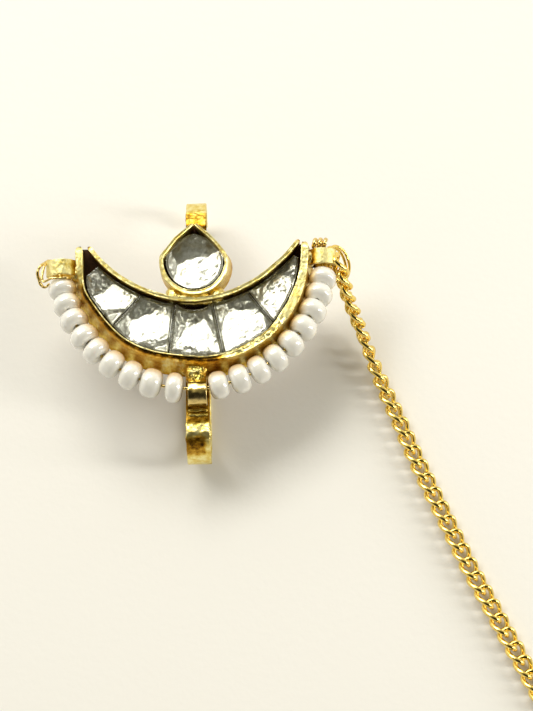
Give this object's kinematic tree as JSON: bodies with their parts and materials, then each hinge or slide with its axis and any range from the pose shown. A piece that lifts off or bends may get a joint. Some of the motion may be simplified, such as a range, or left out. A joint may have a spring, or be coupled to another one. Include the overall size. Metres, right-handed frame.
{
  "type": "nath nose ring",
  "caption": "Crescent nose ring with foil-backed stones, a stone drop, a bead fringe, a strip nose clip and a hair chain.",
  "frame": {"origin": "centre of the nose clip's flat back, which the nath rests on", "axes": "+Z out of the stones' face, away from the surface it lies on; +Y from the crescent to the drop; +X to the chain's side"},
  "size_m": [0.0562, 0.0599, 0.0102],
  "materials": {
    "gold_setting": "matt antique gold plating over brass, hand worked",
    "foil_backed_glass": "flat-cut clear glass over wrinkled silver foil",
    "pearl_bead": "pearly white glazed glass",
    "gold_wire": "drawn gold-plated brass wire",
    "gold_chain": "polished gold-plated curb links"
  },
  "bodies": {
    "root": {"setting_frame": "gold_setting", "crescent_stone_1": "foil_backed_glass", "crescent_stone_2": "foil_backed_glass", "crescent_stone_3": "foil_backed_glass", "crescent_stone_4": "foil_backed_glass", "crescent_stone_5": "foil_backed_glass", "drop_stone": "foil_backed_glass", "bead_left_1": "pearl_bead", "bead_left_2": "pearl_bead", "bead_left_3": "pearl_bead", "bead_left_4": "pearl_bead", "bead_left_5": "pearl_bead", "bead_left_6": "pearl_bead", "bead_left_7": "pearl_bead", "bead_left_8": "pearl_bead", "bead_left_9": "pearl_bead", "bead_right_1": "pearl_bead", "bead_right_2": "pearl_bead", "bead_right_3": "pearl_bead", "bead_right_4": "pearl_bead", "bead_right_5": "pearl_bead", "bead_right_6": "pearl_bead", "bead_right_7": "pearl_bead", "bead_right_8": "pearl_bead", "bead_right_9": "pearl_bead", "bead_wire": "gold_wire", "jump_ring": "gold_wire", "chain": "gold_chain", "hair_hook": "gold_wire"}
  },
  "joints": []
}
